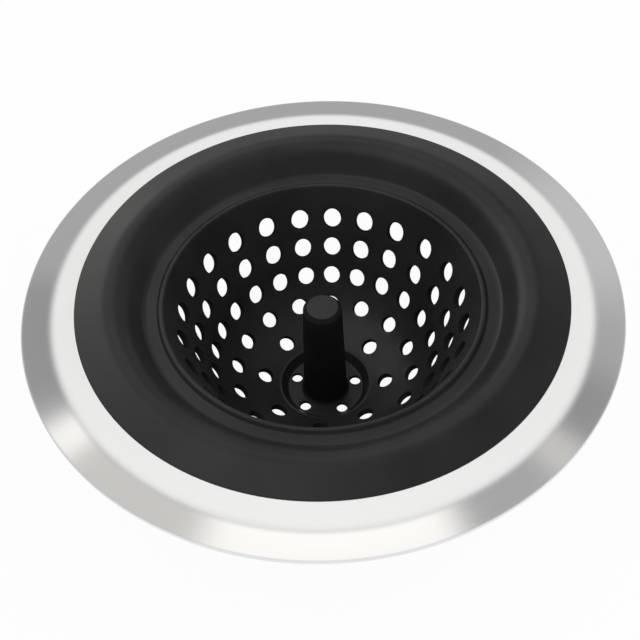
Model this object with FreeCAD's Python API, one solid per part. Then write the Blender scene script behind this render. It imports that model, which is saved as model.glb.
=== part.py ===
import FreeCAD
import Part
import math
import os

# Sink strainer: a steel rim that carries a soft perforated basket with a post to pull it by.
# Millimetres and degrees. The origin is the centre of the foot's underside, with +Z up.
# Radii run in from the rim's edge to the bowl's mouth, and out from the post to the bowl's bottom.

# Steel rim
rim_radius = 57.0  # outer edge
rim_height = 30.2  # top of the outer edge above the foot's underside
sheet = 0.6  # thickness of the sheet
outer_band = 5.7  # width from the outer edge in to the fold
outer_band_rise = 0.6  # from the outer edge up to the fold
inner_band = 4.54  # width from the fold in to the lip
inner_band_slope = 13.0  # angle of the inner band
fold_round = 16.0  # bend of the fold
flange = 4.76  # width of the hidden flange that the collar grips
lock_hole_count = 12
lock_hole_radius = 1.4

# Collar that grips the rim
groove_clearance = 0.05  # between the flange and the collar, and between the lock holes and their plugs
lip_width = 8.11  # from the lip's edge in to the shoulder
lip_edge = 0.32  # thickness of the lip at its edge
grip_setback = 1.36  # edge of the lip below the rim, in from the edge of the lip above
grip_thickness = 1.16  # thickness of the lip below the rim
crest_height = 4.54  # shoulder above the rim's outer edge
crest_round = 2.5
cone_width = 4.55  # from the shoulder in to the foot of the cone
cone_foot_round = 0.8
ledge_drop = 1.15  # ledge below the rim's outer edge
ledge_width = 2.4  # from the cone's foot in to the bead
ledge_thickness = 1.4
bead_width = 1.3  # raised bead on the ledge round the bowl's mouth
bead_rise = 0.6
bead_round = 0.45
spigot_wall = 4.4  # round band that centres the strainer in a drain, out from the cone's foot
spigot_round = 0.5

# Post
post_height = 25.55  # above the dish
post_base_radius = 4.5
post_taper = 0.7  # from the base radius to the top radius
post_top_round = 0.9
post_foot_round = 0.5

# Floor, a shallow dish with a flat foot
dish_flat = 2.85  # width from the post's foot out to the step
dish_step = 1.25  # width of the sloping step round the dish
dish_depth = 1.73  # dish below the bowl's bottom
dish_round = 0.5
floor_lip = 0.5  # from the step out to the edge that joins the bowl
floor_thickness = 0.8
foot_round = 0.6
floor_hole_count = 5
floor_hole_radius = 1.12

# Bowl
wall_thickness = 1.3
bottom_width = 10.33  # from the floor's edge out to where the bottom would meet the side
bottom_slope = 23.3  # angle of the bottom
bowl_round = 18.0  # bend from the side to the bottom, at mid wall
joint_gap = 0.25  # between the bowl and the floor that moves through it

# Rows of oval holes from the top row down
hole_counts = [24, 24, 24, 16, 8]
hole_widths = [3.65, 3.55, 3.45, 3.4, 3.2]  # round the bowl
hole_lengths = [4.4, 4.35, 4.0, 3.3, 3.15]  # down the bowl
first_row = 5.35  # centre of the top row from the bowl's upper edge, along the wall
last_row = 3.3  # centre of the bottom row from the bowl's lower edge, along the wall
hole_squeeze = 0.95  # columns lean up to this many degrees towards the X and Y axes

# Radii and heights that follow from the sizes above
fold_radius = rim_radius - outer_band
lip_radius = fold_radius - inner_band
flange_radius = lip_radius - flange
grip_radius = lip_radius - grip_setback
crest_radius = lip_radius - lip_width
cone_foot_radius = crest_radius - cone_width
bead_radius = cone_foot_radius - ledge_width
mouth_radius = bead_radius - bead_width
spigot_radius = cone_foot_radius + spigot_wall
post_foot_radius = post_base_radius + post_foot_round
dish_radius = post_foot_radius + dish_flat
step_radius = dish_radius + dish_step
floor_radius = step_radius + floor_lip
ledge_height = rim_height - ledge_drop
bead_height = ledge_height + bead_rise
bowl_top = ledge_height - ledge_thickness
dish_height = floor_thickness
bottom_height = dish_height + dish_depth
round_share = 0.48  # most of a side that one round may take
bend_share = 0.9  # most of the side or bottom that the bowl's bend may take
axis_point = FreeCAD.Vector(0, 0, 0)
axis = FreeCAD.Vector(0, 0, 1)


def in_section(r, z):
    return FreeCAD.Vector(r, 0, z)


def section(corners):
    # Closed face from corners of (point, round), each round an arc tangent to its two sides
    starts = []
    middles = []
    ends = []
    for i, (here, radius) in enumerate(corners):
        before = corners[i - 1][0] - here
        after = corners[(i + 1) % len(corners)][0] - here
        half = before.getAngle(after) / 2
        reach = round_share * min(before.Length, after.Length)
        run = min(radius / math.tan(half), reach)
        before.normalize()
        after.normalize()
        inward = (before + after).normalize()
        starts.append(here + before * run)
        middles.append(here + inward * (run / math.cos(half) - run * math.tan(half)))
        ends.append(here + after * run)
    edges = []
    for i, (_, radius) in enumerate(corners):
        if radius > 0:
            edges.append(Part.Arc(starts[i], middles[i], ends[i]).toShape())
        edges.append(Part.LineSegment(ends[i], starts[(i + 1) % len(corners)]).toShape())
    return Part.Face(Part.Wire(edges))


def turned(corners):
    # Solid of revolution from corners of (radius, height, round)
    outline = [(in_section(r, z), radius) for r, z, radius in corners]
    return section(outline).revolve(axis_point, axis, 360)


def at_angle(shape, degrees):
    copy = shape.copy()
    copy.rotate(axis_point, axis, degrees)
    return copy


def ring_of_pins(radius, low, high, circle, count):
    pin = Part.makeCylinder(radius, high - low, in_section(circle, low))
    return Part.makeCompound([at_angle(pin, 360.0 * i / count) for i in range(count)])


def rim_top(r):
    # Height of the rim's upper face at a radius
    if r > fold_radius:
        return rim_height + outer_band_rise * (rim_radius - r) / outer_band
    rise = (fold_radius - r) * math.tan(math.radians(inner_band_slope))
    return rim_height + outer_band_rise + rise


def rim_blank(clearance):
    # The rim with its lock holes, or with a clearance the space that it takes up in the collar
    edge = rim_radius + clearance
    inner_edge = flange_radius - clearance
    below = sheet + clearance
    ring = turned([
        (edge, rim_height + clearance, 0),
        (fold_radius, rim_top(fold_radius) + clearance, fold_round),
        (inner_edge, rim_top(inner_edge) + clearance, 0),
        (inner_edge, rim_top(inner_edge) - below, 0),
        (fold_radius, rim_top(fold_radius) - below, fold_round),
        (edge, rim_height - below, 0),
    ])
    # The lock holes lie midway along the part of the flange that both lips grip
    low = rim_top(grip_radius) - 2 * below
    high = rim_top(inner_edge) + below
    circle = (flange_radius + grip_radius) / 2
    return ring.cut(ring_of_pins(lock_hole_radius - clearance, low, high, circle, lock_hole_count))


def steel_rim():
    return rim_blank(0)


def basket_collar():
    # The lips meet in the middle of the sheet, and the rim's space is cut out of them
    middle = sheet / 2
    grip_height = rim_top(grip_radius) - sheet - grip_thickness
    bowl_edge = bowl_line(0, floor_radius)[0]
    body = turned([
        (lip_radius, rim_top(lip_radius) + lip_edge, 0),
        (crest_radius, rim_height + crest_height, crest_round),
        (cone_foot_radius, ledge_height, cone_foot_round),
        (bead_radius, ledge_height, 0),
        (bead_radius - bead_rise, bead_height, bead_round),
        (mouth_radius, bead_height, bead_round),
        (bowl_edge.x, bowl_edge.z, 0),
        (spigot_radius, bowl_top, spigot_round),
        (spigot_radius, grip_height, 0),
        (grip_radius, grip_height, 0),
        (grip_radius, rim_top(grip_radius) - middle, 0),
        (lip_radius, rim_top(lip_radius) - middle, 0),
    ])
    return body.cut(rim_blank(groove_clearance))


def bowl_directions():
    # Directions down the side and in along the bottom, from the inside of the bowl
    low = math.radians(bottom_slope)
    inward = in_section(-math.cos(low), -math.sin(low))
    corner_radius = floor_radius + bottom_width
    corner = in_section(corner_radius, bottom_height + bottom_width * math.tan(low))
    down = (corner - in_section(mouth_radius, bead_height)).normalize()
    return corner, down, inward


def outward_from(direction):
    return in_section(-direction.z, direction.x)


def bowl_line(depth, end_radius):
    # Upper end, corner and lower end of the bowl's section at a depth below its inside face
    corner, down, inward = bowl_directions()
    side_out = outward_from(down)
    bottom_out = outward_from(inward)
    corner = corner + (side_out + bottom_out) * (depth / (1 + side_out.dot(bottom_out)))
    top = corner + down * ((bowl_top - corner.z) / down.z)
    end = corner + inward * ((end_radius - corner.x) / inward.x)
    return top, corner, end


def wall_lengths():
    # Lengths of the side, the bend and the bottom along the mid wall, and the bend's radius and angle
    top, corner, end = bowl_line(wall_thickness / 2, floor_radius + joint_gap)
    _, down, inward = bowl_directions()
    turn = down.getAngle(inward)
    side = (corner - top).Length
    bottom = (end - corner).Length
    trim = min(bowl_round * math.tan(turn / 2), bend_share * min(side, bottom))
    bend_radius = trim / math.tan(turn / 2)
    return side - trim, bend_radius * turn, bottom - trim, bend_radius


def along_wall(distance):
    # Point on the mid wall at a distance from its upper edge, and the direction down the wall there
    side, bend, _, bend_radius = wall_lengths()
    top = bowl_line(wall_thickness / 2, floor_radius)[0]
    _, down, _ = bowl_directions()
    if distance < side:
        return top + down * distance, down
    angle = min(distance - side, bend) / bend_radius
    inside = outward_from(down) * -1
    here = top + down * side + down * (bend_radius * math.sin(angle))
    here = here + inside * (bend_radius * (1 - math.cos(angle)))
    heading = down * math.cos(angle) + inside * math.sin(angle)
    return here + heading * max(distance - side - bend, 0), heading


def row_holes(row):
    # Oval cutters square to the wall, round one row
    side, bend, bottom, _ = wall_lengths()
    pitch = (side + bend + bottom - first_row - last_row) / (len(hole_counts) - 1)
    centre, heading = along_wall(first_row + row * pitch)
    through = outward_from(heading) * (2 * wall_thickness)
    start = centre - through
    half_length = heading * (hole_lengths[row] / 2)
    half_width = FreeCAD.Vector(0, hole_widths[row] / 2, 0)
    shorter, longer = sorted([half_length, half_width], key=lambda half: half.Length)
    oval = Part.Ellipse(start + longer, start + shorter, start)
    cutter = Part.Face(Part.Wire(oval.toShape())).extrude(through * 2)
    holes = []
    for i in range(hole_counts[row]):
        even = 360.0 * i / hole_counts[row]
        holes.append(at_angle(cutter, even - hole_squeeze * math.sin(math.radians(4 * even))))
    return holes


def basket_wall():
    inside = bowl_line(0, floor_radius + joint_gap)
    outside = bowl_line(wall_thickness, floor_radius + joint_gap)
    bend_radius = wall_lengths()[3]
    body = section([
        (inside[0], 0),
        (inside[1], bend_radius - wall_thickness / 2),
        (inside[2], 0),
        (outside[2], 0),
        (outside[1], bend_radius + wall_thickness / 2),
        (outside[0], 0),
    ]).revolve(axis_point, axis, 360)
    holes = []
    for row in range(len(hole_counts)):
        holes += row_holes(row)
    return body.cut(Part.makeCompound(holes))


def basket_floor():
    edge = bowl_line(wall_thickness, floor_radius)[2]
    dish = turned([
        (0, dish_height, 0),
        (dish_radius, dish_height, dish_round),
        (step_radius, bottom_height, dish_round),
        (floor_radius, bottom_height, 0),
        (edge.x, edge.z, 0),
        (step_radius, edge.z, 0),
        (step_radius, 0, foot_round),
        (0, 0, 0),
    ])
    circle = (post_foot_radius + dish_radius) / 2
    low = -floor_thickness
    high = dish_height + dish_depth
    return dish.cut(ring_of_pins(floor_hole_radius, low, high, circle, floor_hole_count))


def pull_post():
    top = dish_height + post_height
    return turned([
        (0, top, 0),
        (post_base_radius - post_taper, top, post_top_round),
        (post_base_radius, dish_height + post_foot_round, post_foot_round),
        (post_foot_radius, dish_height, 0),
        (0, dish_height, 0),
    ])


os.makedirs("parts", exist_ok=True)
for make in (steel_rim, basket_collar, basket_wall, basket_floor, pull_post):
    # The first column of holes lies on +Y
    shape = at_angle(make(), 90)
    shape.exportStep("parts/" + make.__name__ + ".step")
    print(make.__name__, shape.isValid(), len(shape.Solids), round(shape.Volume, 1))
wall_end = along_wall(sum(wall_lengths()[:3]))[0]
print("travel that turns the bowl inside out", round(2 * (bowl_top - wall_end.z), 2))
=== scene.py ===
import bmesh
import bpy
import math
import numpy as np
from mathutils import Matrix, Vector


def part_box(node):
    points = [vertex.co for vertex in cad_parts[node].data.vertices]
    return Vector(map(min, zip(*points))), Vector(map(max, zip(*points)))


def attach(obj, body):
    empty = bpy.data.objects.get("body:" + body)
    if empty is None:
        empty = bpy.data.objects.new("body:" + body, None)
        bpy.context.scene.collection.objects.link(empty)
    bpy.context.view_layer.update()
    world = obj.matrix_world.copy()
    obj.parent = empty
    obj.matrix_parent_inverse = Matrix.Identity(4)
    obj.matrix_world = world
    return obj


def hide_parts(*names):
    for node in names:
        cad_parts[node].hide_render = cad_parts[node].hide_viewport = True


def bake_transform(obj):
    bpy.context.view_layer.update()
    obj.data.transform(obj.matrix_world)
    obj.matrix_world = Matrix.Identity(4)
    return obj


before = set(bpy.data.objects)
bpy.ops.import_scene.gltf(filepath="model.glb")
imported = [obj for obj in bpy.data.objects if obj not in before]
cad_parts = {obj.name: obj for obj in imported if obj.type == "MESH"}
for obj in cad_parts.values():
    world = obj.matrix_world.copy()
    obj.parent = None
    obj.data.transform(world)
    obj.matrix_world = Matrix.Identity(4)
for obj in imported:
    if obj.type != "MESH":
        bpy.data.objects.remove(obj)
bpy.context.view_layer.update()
mm = 0.001  # shapes are worked out in millimetres
weldDistance = 0.001 * mm
print("frame loaded:", len(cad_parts), "nodes")


# Outlines and surfaces


def roundedLine(corners, arcSteps=8):
    # open outline through corners of (radius, height, round): each round is an arc tangent to its two sides
    corners = np.array(corners, float)
    places = corners[:, :2]
    line = [places[:1]]
    for here, back, ahead, bend in zip(places[1:-1], places[:-2], places[2:], corners[1:-1, 2]):
        if bend == 0:
            line.append(here[None])
            continue
        toBack = (back - here) / np.linalg.norm(back - here)
        toAhead = (ahead - here) / np.linalg.norm(ahead - here)
        half = math.acos(np.clip(toBack @ toAhead, -1, 1)) / 2
        middle = (toBack + toAhead) / np.linalg.norm(toBack + toAhead)
        centre = here + middle * bend / math.sin(half)
        spoke = here + toBack * bend / math.tan(half) - centre
        turn = np.linspace(0, math.pi - 2 * half, arcSteps + 1)[:, None]
        line.append(centre + spoke * np.cos(turn) - toBack * bend * np.sin(turn))
    line.append(places[-1:])
    return np.vstack(line)


def finer(line, step):
    # the same outline with points added evenly along each stretch longer than step
    along = np.diff(line, axis=0)
    counts = np.maximum(np.ceil(np.linalg.norm(along, axis=1) / step).astype(int), 1)
    stretch = np.repeat(np.arange(len(counts)), counts)
    first = np.repeat(np.cumsum(counts) - counts, counts)
    share = (np.arange(counts.sum()) - first) / counts[stretch]
    return np.vstack([line[stretch] + along[stretch] * share[:, None], line[-1:]])


def around(radius, height, angle):
    # points at an angle from +Y, counted towards -X
    return np.stack(np.broadcast_arrays(-radius * np.sin(angle), radius * np.cos(angle), height), axis=-1)


def spun(line, angles):
    # an outline of (radius, height) carried round the axis: rows follow the outline, columns the angles
    return around(line[:, :1], line[:, 1:], angles[None, :])[None]


def pieceFromGrids(name, grids, bores=()):
    # grids of (copies, rows, columns, xyz) in millimetres, each row closed into a ring, welded into one skin;
    # the faces of the bores take the second material
    points, faces, second, count = [], [], [], 0
    for grid in (*grids, *bores):
        index = count + np.arange(grid[..., 0].size).reshape(grid.shape[:3])
        beside = np.roll(index, -1, axis=2)
        corners = [index[:, :-1], beside[:, :-1], beside[:, 1:], index[:, 1:]]
        faces.append(np.stack(corners, axis=-1).reshape(-1, 4))
        points.append(grid.reshape(-1, 3))
        second.append(np.full(len(faces[-1]), len(faces) > len(grids)))
        count += index.size
    mesh = bpy.data.meshes.new(name)
    mesh.from_pydata((np.vstack(points) * mm).tolist(), [], np.vstack(faces).tolist())
    mesh.polygons.foreach_set("material_index", np.concatenate(second).astype(np.int32))
    skin = bmesh.new()
    skin.from_mesh(mesh)
    bmesh.ops.remove_doubles(skin, verts=skin.verts, dist=weldDistance)
    bmesh.ops.recalc_face_normals(skin, faces=skin.faces)
    openEdges = sum(not edge.is_manifold for edge in skin.edges)
    triangles = sum(len(face.verts) - 2 for face in skin.faces)
    skin.to_mesh(mesh)
    skin.free()
    mesh.shade_smooth()
    piece = bpy.data.objects.new(name, mesh)
    bpy.context.scene.collection.objects.link(piece)
    print(name, "built:", triangles, "triangles,", openEdges, "open edges")
    return piece


# Shader maths


class Wire:
    # a node socket that can stand in a Python expression

    def __init__(self, tree, socket=None):
        self.tree = tree
        self.socket = socket

    def node(self, kind, settings, sockets, output=0):
        made = self.tree.nodes.new(kind)
        for name, value in settings.items():
            setattr(made, name, value)
        for name, value in sockets.items():
            if isinstance(value, Wire):
                self.tree.links.new(value.socket, made.inputs[name])
            else:
                made.inputs[name].default_value = value
        return Wire(self.tree, made.outputs[output] if len(made.outputs) else None)

    def maths(self, operation, *values):
        return self.node("ShaderNodeMath", {"operation": operation}, dict(enumerate(values)))

    def __add__(self, other):
        return self.maths("ADD", self, other)

    def __radd__(self, other):
        return self.maths("ADD", other, self)

    def __sub__(self, other):
        return self.maths("SUBTRACT", self, other)

    def __rsub__(self, other):
        return self.maths("SUBTRACT", other, self)

    def __mul__(self, other):
        return self.maths("MULTIPLY", self, other)

    def __rmul__(self, other):
        return self.maths("MULTIPLY", other, self)

    def step(self, low, high):
        # 0 at low, 1 at high, with a soft step between
        return self.node("ShaderNodeMapRange", {"interpolation_type": "SMOOTHSTEP"},
                         {"Value": self, "From Min": low, "From Max": high})

    def mix(self, first, second):
        # one colour where this is 0, the other where it is 1
        return self.node("ShaderNodeMix", {"data_type": "RGBA"}, {0: self, 6: first, 7: second}, 2)

    def noise(self, scale, detail):
        return self.node("ShaderNodeTexNoise", {}, {"Vector": self, "Scale": scale, "Detail": detail})


def dot(vector, axis):
    return vector.node("ShaderNodeVectorMath", {"operation": "DOT_PRODUCT"}, {0: vector, 1: axis}, 1)


def newMaterial(name):
    made = bpy.data.materials.new(name)
    made.use_nodes = True
    made.node_tree.nodes.clear()
    return made, Wire(made.node_tree)


def grey(level):
    return (level, level, level, 1.0)


# Steel rim

rimShape = {
    "sheet": 0.6,
    "outerBand": 5.7,  # from the outer edge in to the fold
    "outerBandRise": 0.6,
    "innerBandSlope": 13.0,
    "foldRound": 20.0,
    "edgeRound": 0.12,
    "columns": 360,
    "step": 0.4,
}
rimLow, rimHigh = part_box("steel_rim")
rimRadius = rimHigh.y / mm
rimHeight = rimLow.z / mm + rimShape["sheet"]  # top of the outer edge
foldRadius = rimRadius - rimShape["outerBand"]
foldHeight = rimHeight + rimShape["outerBandRise"]
innerRise = math.tan(math.radians(rimShape["innerBandSlope"]))
flangeRadius = foldRadius - (rimHigh.z / mm - foldHeight) / innerRise  # inner edge, inside the lip


def rimTop(radius):
    # height of the inner band's upper face
    return foldHeight + (foldRadius - radius) * innerRise


def buildRim():
    # two straight bands and a soft fold between them, the sheet's thickness below, spun round the axis
    sheet, edge, fold = rimShape["sheet"], rimShape["edgeRound"], rimShape["foldRound"]
    middle = rimTop(flangeRadius) - sheet / 2
    line = roundedLine([
        (flangeRadius, middle, 0),
        (flangeRadius, rimTop(flangeRadius), edge),
        (foldRadius, foldHeight, fold),
        (rimRadius, rimHeight, edge),
        (rimRadius, rimHeight - sheet, edge),
        (foldRadius, foldHeight - sheet, fold),
        (flangeRadius, rimTop(flangeRadius) - sheet, edge),
        (flangeRadius, middle, 0),
    ])
    angles = np.linspace(0, 2 * math.pi, rimShape["columns"], endpoint=False)
    return pieceFromGrids("brushed_rim", [spun(finer(line, rimShape["step"]), angles)])


# Silicone basket: collar, perforated bowl and dished floor in one skin

collarShape = {
    "lipWidth": 8.11,  # from the lip's edge in to the shoulder
    "lipEdge": 0.32,
    "lipEdgeRound": 0.12,
    "gripSetback": 1.36,  # edge of the lip below the rim, in from the edge of the lip above
    "gripThickness": 1.16,
    "gripRound": 0.3,
    "grooveClearance": 0.05,
    "innerBand": 4.54,  # steel that shows between the fold and the lip
    "crestHeight": 4.54,  # shoulder above the rim's outer edge
    "crestRound": 5.0,
    "coneWidth": 4.55,
    "coneFootRound": 1.4,
    "ledgeDrop": 1.15,  # ledge below the rim's outer edge
    "ledgeWidth": 2.4,
    "beadWidth": 1.3,
    "beadRise": 0.6,
    "beadRound": 0.45,
    "beadFootRound": 0.3,
    "spigotWall": 4.4,
    "spigotRound": 0.5,
    "step": 0.55,
}
bowlShape = {
    "thickness": 1.3,
    "bottomWidth": 10.33,  # from the floor's edge out to where bottom and side would meet
    "bottomSlope": 23.3,
    "bend": 18.0,  # at mid wall
    "neckRound": 0.6,  # between the bowl and the underside of the collar
    "columns": 240,  # a multiple of every count of holes
    "lean": 0.95,  # columns lean up to this many degrees towards the X and Y axes
}
holeRows = {
    "counts": [24, 24, 24, 16, 8],
    "widths": [3.65, 3.55, 3.45, 3.4, 3.2],  # round the bowl
    "lengths": [4.4, 4.35, 4.0, 3.3, 3.15],  # down the bowl
    "first": 5.35,  # top row from the bowl's upper edge
    "last": 3.3,  # bottom row from the bowl's lower edge
    "edgeShare": 0.25,  # part of the wall below the bottom holes that joins the dish, not the cells
    "lipRound": 0.1,
    "sideSteps": 6,
    "flatRows": 3,  # rows of a cell on each face of the wall
    "arcRows": 4,  # rows round each lip of a hole
}
dishShape = {
    "flat": 2.85,  # from the post's foot out to the step
    "step": 1.25,
    "depth": 1.73,
    "lip": 0.5,
    "round": 0.3,
    "footRound": 0.6,
    "innerCornerRound": 0.3,
    "holeCount": 5,
    "holeRadius": 1.12,
    "holeLipRound": 0.06,
    "overlap": 0.05,  # the floor's cells reach this far under the post's foot
}
postShape = {
    "baseRadius": 4.5,
    "taper": 0.7,
    "shoulder": (0.7, 0.8),  # chamfer round the top, across and down
    "shoulderRound": 0.15,
    "footRound": 0.5,
    "sunk": 0.2,  # into the floor
    "columns": 96,
    "step": 1.2,
}

lipRadius = foldRadius - collarShape["innerBand"]
crestRadius = lipRadius - collarShape["lipWidth"]
coneFootRadius = crestRadius - collarShape["coneWidth"]
beadRadius = coneFootRadius - collarShape["ledgeWidth"]
mouthRadius = beadRadius - collarShape["beadWidth"]
ledgeHeight = rimHeight - collarShape["ledgeDrop"]
mouthHeight = ledgeHeight + collarShape["beadRise"]
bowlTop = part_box("basket_wall")[1].z / mm
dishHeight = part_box("pull_post")[0].z / mm
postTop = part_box("pull_post")[1].z / mm
postFootRadius = postShape["baseRadius"] + postShape["footRound"]
dishRadius = postFootRadius + dishShape["flat"]
stepRadius = dishRadius + dishShape["step"]
floorRadius = stepRadius + dishShape["lip"]
bottomHeight = dishHeight + dishShape["depth"]

# the bowl's section: a straight side, a round bend and a straight bottom, as directions of (radius, height)
bottomAngle = math.radians(bowlShape["bottomSlope"])
bowlCorner = np.array([floorRadius + bowlShape["bottomWidth"],
                       bottomHeight + bowlShape["bottomWidth"] * math.tan(bottomAngle)])
downSide = bowlCorner - (mouthRadius, mouthHeight)
downSide /= np.linalg.norm(downSide)
inBottom = np.array([-math.cos(bottomAngle), -math.sin(bottomAngle)])
sideOut = np.array([-downSide[1], downSide[0]])
bottomOut = np.array([-inBottom[1], inBottom[0]])
halfWall = bowlShape["thickness"] / 2
midCorner = bowlCorner + (sideOut + bottomOut) * halfWall / (1 + sideOut @ bottomOut)
midTop = midCorner + downSide * (bowlTop - midCorner[1]) / downSide[1]
bendTurn = math.acos(downSide @ inBottom)
bendTrim = bowlShape["bend"] * math.tan(bendTurn / 2)
sideLength = np.linalg.norm(midCorner - midTop) - bendTrim
bendLength = bowlShape["bend"] * bendTurn
bottomLength = (floorRadius - midCorner[0]) / inBottom[0] - bendTrim
wallLength = sideLength + bendLength + bottomLength
rowPitch = (wallLength - holeRows["first"] - holeRows["last"]) / (len(holeRows["counts"]) - 1)


def onWall(distance, depth):
    # distance down the mid wall from the bowl's top, depth from -halfWall inside to halfWall outside
    distance = np.asarray(distance, float)[..., None]
    depth = np.asarray(depth, float)[..., None]
    turn = np.clip((distance - sideLength) / bowlShape["bend"], 0, bendTurn)
    heading = downSide * np.cos(turn) - sideOut * np.sin(turn)
    place = midTop + downSide * np.minimum(distance, sideLength)
    place = place + bowlShape["bend"] * (downSide * np.sin(turn) - sideOut * (1 - np.cos(turn)))
    place = place + heading * np.maximum(distance - sideLength - bendLength, 0)
    outward = np.stack([-heading[..., 1], heading[..., 0]], axis=-1)
    return place + outward * depth


def columnAngle(column):
    # even columns that lean towards the X and Y axes, as the holes do
    even = 2 * math.pi * np.asarray(column, float) / bowlShape["columns"]
    return even - math.radians(bowlShape["lean"]) * np.sin(4 * even)


def cellEdge(width, steps):
    # once round a cell's border, as whole columns from its left edge and shares of its height
    left = np.zeros(steps)
    across = np.arange(width)
    up = np.arange(steps) / steps
    column = np.concatenate([across, left + width, width - across, left])
    share = np.concatenate([across * 0.0, up, across * 0.0 + 1, 1 - up])
    return column, share


def lipSection(rounding, thickness):
    # from the cell's border in to the hole's lip, over the lip, through the wall and out again:
    # how far towards the hole, how far outside its outline, and how deep
    turn = np.linspace(0, math.pi / 2, holeRows["arcRows"])
    flat = np.linspace(0, 1, holeRows["flatRows"])[:-1]
    toHole = np.concatenate([flat, np.ones(2 * len(turn)), flat[::-1]])
    beyond = rounding * (1 - np.sin(turn))
    deep = rounding * (1 - np.cos(turn))
    outside = np.concatenate([flat * 0 + rounding, beyond, beyond[::-1], flat * 0 + rounding])
    depth = np.concatenate([flat * 0, deep, thickness - deep[::-1], flat * 0 + thickness])
    return toHole[:, None], outside[:, None], depth[:, None]


def wallCells(row, top, bottom):
    # one cell of wall for each hole of a row: its border runs inwards to the oval and through the wall
    count = holeRows["counts"][row]
    width = bowlShape["columns"] // count
    centre = holeRows["first"] + row * rowPitch
    column, share = cellEdge(width, holeRows["sideSteps"])
    edgeAngle = columnAngle(column - width // 2)  # about the row's first hole
    edgeDistance = top + (bottom - top) * share
    toHole, outside, depth = lipSection(holeRows["lipRound"], bowlShape["thickness"])
    halfWidth = holeRows["widths"][row] / 2
    halfLength = holeRows["lengths"][row] / 2
    centreRadius = onWall(centre, 0)[0]
    bearing = np.arctan2((edgeDistance - centre) / halfLength, edgeAngle * centreRadius / halfWidth)
    ovalDistance = centre + (halfLength + outside) * np.sin(bearing)
    ovalAcross = (halfWidth + outside) * np.cos(bearing)
    distance = edgeDistance + (ovalDistance - edgeDistance) * toHole
    place = onWall(distance, depth - halfWall)
    ovalRadius = onWall(ovalDistance, depth - halfWall)[..., 0]
    cells = []
    for hole in range(count):
        # whole columns keep the borders of neighbouring cells together
        border = columnAngle(column - width // 2 + hole * width)
        oval = columnAngle(hole * width) + np.arcsin(ovalAcross / ovalRadius)
        cells.append(around(place[..., 0], place[..., 1], border + (oval - border) * toHole))
    return np.stack(cells)


def floorCells(inner, outer):
    # the same for the round holes in the dish, from its upper face to the foot
    count = dishShape["holeCount"]
    width = bowlShape["columns"] // count
    circle = (postFootRadius + dishRadius) / 2
    column, share = cellEdge(width, holeRows["sideSteps"])
    edgeRadius = inner + (outer - inner) * share
    edgeAngle = columnAngle(column - width // 2)
    toHole, outside, depth = lipSection(dishShape["holeLipRound"], dishHeight)
    bearing = np.arctan2(edgeRadius - circle, edgeAngle * circle)
    holeX = (dishShape["holeRadius"] + outside) * np.cos(bearing)
    holeY = circle + (dishShape["holeRadius"] + outside) * np.sin(bearing)
    holeAngle = np.arctan2(holeX, holeY)
    holeReach = np.hypot(holeX, holeY)
    reach = edgeRadius + (holeReach - edgeRadius) * toHole
    cells = []
    for hole in range(count):
        border = columnAngle(column - width // 2 + hole * width)
        middle = 2 * math.pi * hole / count
        cells.append(around(reach, dishHeight - depth, border + (middle + holeAngle - border) * toHole))
    return np.stack(cells)


def collarLine(cellTop):
    # from the inside of the bowl up over bead, ledge, cone and lip, round the groove and down the underside
    c = collarShape
    gap = c["grooveClearance"]
    below = rimShape["sheet"] + gap
    gripRadius = lipRadius - c["gripSetback"]
    gripHeight = rimTop(gripRadius) - rimShape["sheet"] - c["gripThickness"]
    grooveRadius = flangeRadius - gap
    spigotRadius = coneFootRadius + c["spigotWall"]
    outsideTop = onWall(0, halfWall)
    neck = outsideTop + downSide * (bowlTop - outsideTop[1]) / downSide[1]
    return finer(roundedLine([
        (*onWall(cellTop, -halfWall), 0),
        (mouthRadius, mouthHeight, c["beadRound"]),
        (beadRadius - c["beadRise"], mouthHeight, c["beadRound"]),
        (beadRadius, ledgeHeight, c["beadFootRound"]),
        (coneFootRadius, ledgeHeight, c["coneFootRound"]),
        (crestRadius, rimHeight + c["crestHeight"], c["crestRound"]),
        (lipRadius, rimTop(lipRadius) + c["lipEdge"], c["lipEdgeRound"]),
        (lipRadius, rimTop(lipRadius) + gap, 0),
        (grooveRadius, rimTop(grooveRadius) + gap, 0),
        (grooveRadius, rimTop(grooveRadius) - below, 0),
        (gripRadius, rimTop(gripRadius) - below, 0),
        (gripRadius, gripHeight, c["gripRound"]),
        (spigotRadius, gripHeight, c["gripRound"]),
        (spigotRadius, bowlTop, c["spigotRound"]),
        (*neck, bowlShape["neckRound"]),
        (*onWall(cellTop, halfWall), 0),
    ]), c["step"])


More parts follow.
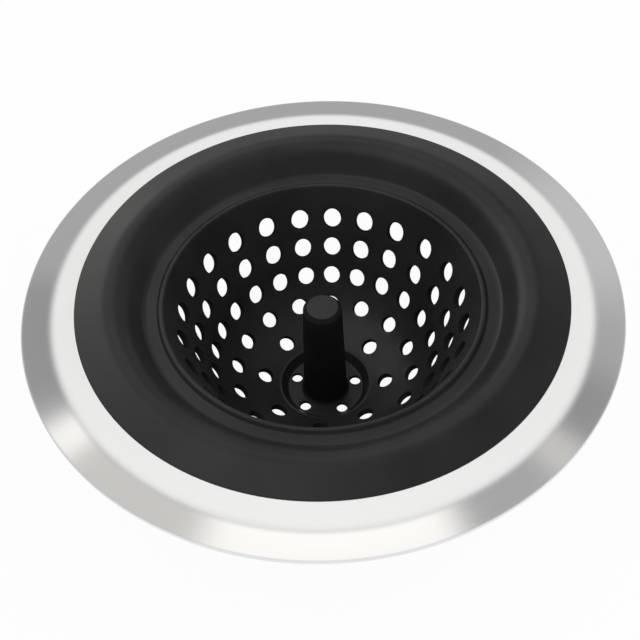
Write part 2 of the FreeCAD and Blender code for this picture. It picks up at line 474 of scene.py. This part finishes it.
def buildBasket():
    d = dishShape
    rows = len(holeRows["counts"])
    # borders between the rows of cells, along the mid wall
    borders = holeRows["first"] + rowPitch * (np.arange(rows + 1) - 0.5)
    borders[-1] = wallLength - holeRows["edgeShare"] * (holeRows["last"] - holeRows["lengths"][-1] / 2)
    angles = columnAngle(np.arange(bowlShape["columns"]))
    grids = [spun(collarLine(borders[0]), angles)]
    cells = [wallCells(row, borders[row], borders[row + 1]) for row in range(rows)]
    # the step down into the dish, and the foot below it
    flatEdge = dishRadius - d["round"] * math.tan(math.atan2(d["depth"], d["step"]) / 2)
    postEdge = postFootRadius - d["overlap"]
    dishLine = roundedLine([
        (*onWall(borders[-1], -halfWall), 0),
        (floorRadius, bottomHeight, 0),
        (stepRadius, bottomHeight, d["round"]),
        (dishRadius, dishHeight, d["round"]),
        (flatEdge, dishHeight, 0),
    ])
    outsideEnd = onWall(borders[-1], halfWall)
    foot = outsideEnd + inBottom * (stepRadius - outsideEnd[0]) / inBottom[0]
    footLine = roundedLine([
        (*outsideEnd, 0),
        (*foot, d["innerCornerRound"]),
        (stepRadius, 0, d["footRound"]),
        (flatEdge, 0, 0),
    ])
    grids += [spun(finer(line, collarShape["step"]), angles) for line in (dishLine, footLine)]
    cells.append(floorCells(postEdge, flatEdge))
    # each cell has two flat stretches of the wall, with the bore's rows between them
    flat = holeRows["flatRows"]
    grids += [cell[:, :flat] for cell in cells]
    grids += [cell[:, -flat:] for cell in cells]
    bores = [cell[:, flat - 1:1 - flat] for cell in cells]
    for height in (dishHeight, 0.0):
        disc = np.array([(postEdge, height), (postEdge / 2, height), (0, height)])
        grids.append(spun(disc, angles))
    return pieceFromGrids("silicone_basket", grids, bores)


def buildPost():
    # a slightly tapered round bar with a chamfered top and a soft foot, spun round the axis; its side takes
    # the silicone copy without reflection, painted shade that keeps it dark
    p = postShape
    across, down = p["shoulder"]
    topRadius = p["baseRadius"] - p["taper"]
    line = roundedLine([
        (0, postTop, 0),
        (topRadius - across, postTop, p["shoulderRound"]),
        (topRadius, postTop - down, p["shoulderRound"]),
        (p["baseRadius"], dishHeight, p["footRound"]),
        (postFootRadius, dishHeight, 0),
        (postFootRadius, dishHeight - p["sunk"], 0),
        (0, dishHeight - p["sunk"], 0),
    ])
    angles = np.linspace(0, 2 * math.pi, p["columns"], endpoint=False)
    line = finer(line, p["step"])
    side = int(np.argmax(line[:, 1] < postTop))  # first point below the flat top
    return pieceFromGrids("silicone_post", [spun(line[:side], angles)], [spun(line[side - 1:], angles)])


# Finishes

steelFinish = {
    # the inner band's colour is lighter than the outer band's: painted brightness standing in for the inner
    # band's bright reflection
    "innerPaintedLightColour": (0.86, 0.86, 0.85, 1.0),
    "outerColour": (0.795, 0.795, 0.80, 1.0),
    "outerRoughness": 0.09,
    "innerRoughness": 0.2,
    "lineRoughness": 0.03,  # the brushed lines change the roughness by this much
    "lineScale": 9000.0,  # across the brushed lines, per metre
    "linesAround": 2.5,  # along them, per radian
    "lineDetail": 3.0,
    "lineDepth": 0.0012 * mm,
    "lineShade": 0.12,  # the brushed lines change the colour by this much
    "foldBlend": (1.2, 1.0),  # inwards and outwards of the fold, where the two finishes meet: the inner band is rougher, and lighter in colour as painted brightness
}
siliconeFinish = {
    "darkColour": (0.0080, 0.0083, 0.0080, 1.0),
    "paleColour": (0.0120, 0.0124, 0.0118, 1.0),
    "roughness": 0.38,
    "mottle": 0.08,  # the mottle and the grain change the roughness by this much
    "mottleScale": 70.0,
    "mottleDetail": 4.0,
    "mottleEdge": (0.3, 0.7),  # the noise from the dark colour to the pale
    "grainScale": 3200.0,
    "grainDetail": 2.0,
    "grainDepth": 0.012 * mm,
    "refraction": 1.41,
    "specular": 0.15,
    "paintedShadeSpecular": 0.0,  # the holes' walls and the post's side have no reflection: painted shade that keeps them dark
}


def brushedSteel():
    f = steelFinish
    material, wire = newMaterial("brushed_steel")
    place = wire.node("ShaderNodeTexCoord", {}, {}, 3)
    flat = place.node("ShaderNodeVectorMath", {"operation": "MULTIPLY"}, {0: place, 1: (1, 1, 0)})
    radius = flat.node("ShaderNodeVectorMath", {"operation": "LENGTH"}, {0: flat}, 1)
    x, y = [dot(place, axis) for axis in np.eye(3)[:2]]
    bearing = y.maths("ARCTAN2", y, x)
    # brushed lines run round the axis: fine across the radius, long along the bearing
    spread = {0: radius * f["lineScale"], 1: bearing * f["linesAround"]}
    lines = wire.node("ShaderNodeCombineXYZ", {}, spread).noise(1.0, f["lineDetail"])
    inwards, outwards = f["foldBlend"]
    inner = 1 - radius.step((foldRadius - inwards) * mm, (foldRadius + outwards) * mm)
    # the lighter inner band is painted brightness; its roughness differs as well
    colour = inner.mix(f["outerColour"], f["innerPaintedLightColour"])
    shade = (lines - 0.5) * f["lineShade"] + 1
    colour = shade.mix(grey(0.0), colour)
    roughness = f["outerRoughness"] + inner * (f["innerRoughness"] - f["outerRoughness"])
    roughness = roughness + (lines - 0.5) * f["lineRoughness"]
    bump = lines.node("ShaderNodeBump", {}, {"Height": lines, "Distance": f["lineDepth"], "Strength": 1.0})
    shader = wire.node("ShaderNodeBsdfPrincipled", {}, {
        "Base Color": colour,
        "Roughness": roughness,
        "Metallic": 1.0,
        "Normal": bump,
    })
    wire.node("ShaderNodeOutputMaterial", {}, {"Surface": shader})
    return material


def blackSilicone(name, specular):
    f = siliconeFinish
    material, wire = newMaterial(name)
    place = wire.node("ShaderNodeTexCoord", {}, {}, 3)
    mottle = place.noise(f["mottleScale"], f["mottleDetail"])
    grain = place.noise(f["grainScale"], f["grainDetail"])
    colour = mottle.step(*f["mottleEdge"]).mix(f["darkColour"], f["paleColour"])
    roughness = f["roughness"] + (mottle - 0.5) * f["mottle"] + (grain - 0.5) * f["mottle"]
    bump = grain.node("ShaderNodeBump", {}, {"Height": grain, "Distance": f["grainDepth"], "Strength": 1.0})
    shader = wire.node("ShaderNodeBsdfPrincipled", {}, {
        "Base Color": colour,
        "Roughness": roughness,
        "Specular IOR Level": specular,
        "IOR": f["refraction"],
        "Normal": bump,
    })
    wire.node("ShaderNodeOutputMaterial", {}, {"Surface": shader})
    return material


# Floor, light and camera

studio = {
    "floorSize": 4.0,
    "floorColour": grey(0.9),
    "floorGlow": 0.95,  # share of the floor that the camera sees as plain white
    "skyLevel": 1.0,
    "reflectorTowards": (-6.0, 50.0),  # azimuth from +Y towards +X, and elevation
    "reflectorEdge": (23.0, 30.5),  # degrees from its middle, from full to none
    "edgeDip": 0.2,  # how much darker it is half way over that edge
    "reflectorLevel": 0.46,
    "warmth": (1.0, 0.975, 0.935),
    "flagAcross": (-125.0, -105.0, -22.0, -10.0),  # azimuths over which a dim flag on the left comes and goes
    "flagHeight": (34.0, 50.0),  # elevations over which it ends
    "flagGap": (44.0, 50.0),  # degrees from the reflector's middle over which it starts
    "flagLevel": 0.36,
}
# cards on the reflector, which the rim's outer band mirrors, each over those before it: bearing round the
# reflector in degrees from its bottom towards +X, half width, soft edge, level, and 1 for a warm card
reflectorCards = {
    "right_pale": (66, 8, 22, 0.63, 0),
    "right_dark": (115, 4, 12, 0.33, 0),
    "right_strip": (126, 1.5, 6, 0.72, 1),
    "left_fill": (222, 16, 10, 0.72, 1),
    "overhead": (180, 22, 10, 1.27, 1),
    "left_strip": (245, 1.5, 6, 1.26, 1),
    "left_dark": (270, 12, 8, 0.35, 0),
}
# soft boxes that light the silicone alone: azimuth, elevation, tilt, width and height in metres, level
softBoxes = {
    "left_box": (-50.0, 33.0, -50.0, 0.28, 0.56, 3.3),
    "upper_box": (-93.0, 73.0, 0.0, 0.40, 0.40, 2.6),
    "back_box": (-11.0, 48.0, 0.0, 0.30, 0.26, 2.4),
}
boxDistance = 0.6
boxColour = (0.97, 1.0, 0.955)
photoView = {
    "place": (15.47, -146.11, 197.62),
    "azimuth": -6.257,  # from +Y towards +X
    "down": 50.008,
    "roll": 2.563,
    "lens": 65.65,
    "sensor": 36.0,
    "nearest": 0.01,  # metres
}


def buildFloor():
    half = studio["floorSize"] / 2
    corners = [(-half, -half, 0), (half, -half, 0), (half, half, 0), (-half, half, 0)]
    mesh = bpy.data.meshes.new("pale_floor")
    mesh.from_pydata(corners, [], [(0, 1, 2, 3)])
    floor = bpy.data.objects.new("pale_floor", mesh)
    bpy.context.scene.collection.objects.link(floor)
    material, wire = newMaterial("pale_floor")
    path = wire.node("ShaderNodeLightPath", {}, {})
    outputs = path.socket.node.outputs
    seen = Wire(wire.tree, outputs["Is Camera Ray"])
    glossy = Wire(wire.tree, outputs["Is Glossy Ray"])
    through = Wire(wire.tree, outputs["Is Transmission Ray"])
    glow = seen.maths("MAXIMUM", seen.maths("MAXIMUM", seen, glossy), through) * studio["floorGlow"]
    paint = wire.node("ShaderNodeBsdfDiffuse", {}, {"Color": studio["floorColour"]})
    white = wire.node("ShaderNodeEmission", {}, {"Color": grey(1.0), "Strength": 1.0})
    both = wire.node("ShaderNodeMixShader", {}, {0: glow, 1: paint, 2: white})
    wire.node("ShaderNodeOutputMaterial", {}, {"Surface": both})
    mesh.materials.append(material)


def towards(azimuth, elevation):
    # unit vector at an azimuth from +Y towards +X and an elevation, both in degrees
    azimuth, elevation = math.radians(azimuth), math.radians(elevation)
    flat = math.cos(elevation)
    return (math.sin(azimuth) * flat, math.cos(azimuth) * flat, math.sin(elevation))


def within(cosine, edge):
    # 1 within the first angle of a direction, 0 beyond the second, from the cosine of the angle to it
    full, none = [math.cos(math.radians(angle)) for angle in edge]
    return cosine.step(none, full)


def buildSoftBoxes(receivers):
    group = bpy.data.collections.new("silicone_lit")
    for piece in receivers:
        group.objects.link(piece)
    for name, (azimuth, elevation, tilt, width, height, level) in softBoxes.items():
        lamp = bpy.data.lights.new(name, "AREA")
        lamp.shape = "RECTANGLE"
        lamp.size = width
        lamp.size_y = height
        lamp.color = boxColour
        lamp.energy = level * math.pi * width * height  # watts for that level over the box's face
        box = bpy.data.objects.new(name, lamp)
        outward = Vector(towards(azimuth, elevation))
        turn = outward.to_track_quat("Z", "Y").to_matrix().to_4x4()
        turn = turn @ Matrix.Rotation(math.radians(tilt), 4, "Z")
        box.matrix_world = Matrix.Translation(outward * boxDistance) @ turn
        box.light_linking.receiver_collection = group
        bpy.context.scene.collection.objects.link(box)


def buildWorld():
    world = bpy.data.worlds.new("studio")
    bpy.context.scene.world = world
    world.use_nodes = True
    world.node_tree.nodes.clear()
    wire = Wire(world.node_tree)
    direction = wire.node("ShaderNodeTexCoord", {}, {}, 0)
    azimuth, elevation = studio["reflectorTowards"]
    near = dot(direction, towards(azimuth, elevation))
    reflector = within(near, studio["reflectorEdge"])
    # bearing round the reflector's middle, from straight below it
    degrees = 180 / math.pi
    aside = dot(direction, towards(azimuth + 90, 0))
    above = dot(direction, towards(azimuth + 180, 90 - elevation))
    bearing = aside.maths("ARCTAN2", aside, 0 - above) * degrees
    bearing = bearing.maths("WRAP", bearing, 360.0, 0.0)
    cards = grey(studio["reflectorLevel"])
    for centre, halfWidth, softEdge, level, warm in reflectorCards.values():
        apart = bearing - centre
        apart = apart.maths("ABSOLUTE", apart)
        tint = studio["warmth"] if warm else (1.0, 1.0, 1.0)
        colour = (*[level * part for part in tint], 1.0)
        cards = apart.step(halfWidth, halfWidth + softEdge).mix(colour, cards)
    # the flag reaches up the left from the horizon, and stays clear of the reflector
    x, y, z = [dot(direction, axis) for axis in np.eye(3)]
    turn = x.maths("ARCTAN2", x, y) * degrees
    height = z.maths("ARCSINE", z) * degrees
    leftFrom, leftFull, rightFull, rightTo = studio["flagAcross"]
    flag = turn.step(leftFrom, leftFull) * (1 - turn.step(rightFull, rightTo))
    flag = flag * (1 - height.step(*studio["flagHeight"])) * (1 - within(near, studio["flagGap"]))
    sky = flag.mix(grey(studio["skyLevel"]), grey(studio["flagLevel"]))
    dip = 1 - reflector * (1 - reflector) * (4 * studio["edgeDip"])
    light = dip.mix(grey(0.0), reflector.mix(sky, cards))
    path = wire.node("ShaderNodeLightPath", {}, {})
    seen = Wire(wire.tree, path.socket.node.outputs["Is Camera Ray"])
    colour = seen.mix(light, grey(1.0))
    back = wire.node("ShaderNodeBackground", {}, {"Color": colour, "Strength": 1.0})
    wire.node("ShaderNodeOutputWorld", {}, {"Surface": back})


def buildCamera():
    azimuth, down, roll = [math.radians(photoView[name]) for name in ("azimuth", "down", "roll")]
    ahead = Vector((math.sin(azimuth) * math.cos(down), math.cos(azimuth) * math.cos(down), -math.sin(down)))
    level = ahead.cross(Vector((0, 0, 1))).normalized()
    upright = level.cross(ahead)
    right = level * math.cos(roll) - upright * math.sin(roll)
    up = level * math.sin(roll) + upright * math.cos(roll)
    lens = bpy.data.cameras.new("photo_view")
    lens.lens = photoView["lens"]
    lens.sensor_width = photoView["sensor"]
    lens.clip_start = photoView["nearest"]
    camera = bpy.data.objects.new("photo_view", lens)
    turned = Matrix((right, up, -ahead)).transposed().to_4x4()
    camera.matrix_world = Matrix.Translation(Vector(photoView["place"]) * mm) @ turned
    bpy.context.scene.collection.objects.link(camera)
    bpy.context.scene.camera = camera


# Assembly

steel = brushedSteel()
silicone = blackSilicone("black_silicone", siliconeFinish["specular"])
# a copy of the black silicone without reflection, for the holes' walls and the post's side: painted shade
bore = blackSilicone("black_silicone_painted_shade", siliconeFinish["paintedShadeSpecular"])
print("finishes made")

rim = buildRim()
rim.data.materials.append(steel)
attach(rim, "rim")
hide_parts("steel_rim")

basket = buildBasket()
basket.data.materials.append(silicone)
basket.data.materials.append(bore)
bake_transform(basket)
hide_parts("basket_collar", "basket_wall", "basket_floor")

post = buildPost()
post.data.materials.append(silicone)
post.data.materials.append(bore)
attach(post, "floor")
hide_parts("pull_post")
print("pieces placed")

buildFloor()
buildWorld()
buildSoftBoxes([basket, post])
buildCamera()
bpy.context.scene.view_settings.view_transform = "Standard"
print("studio ready")
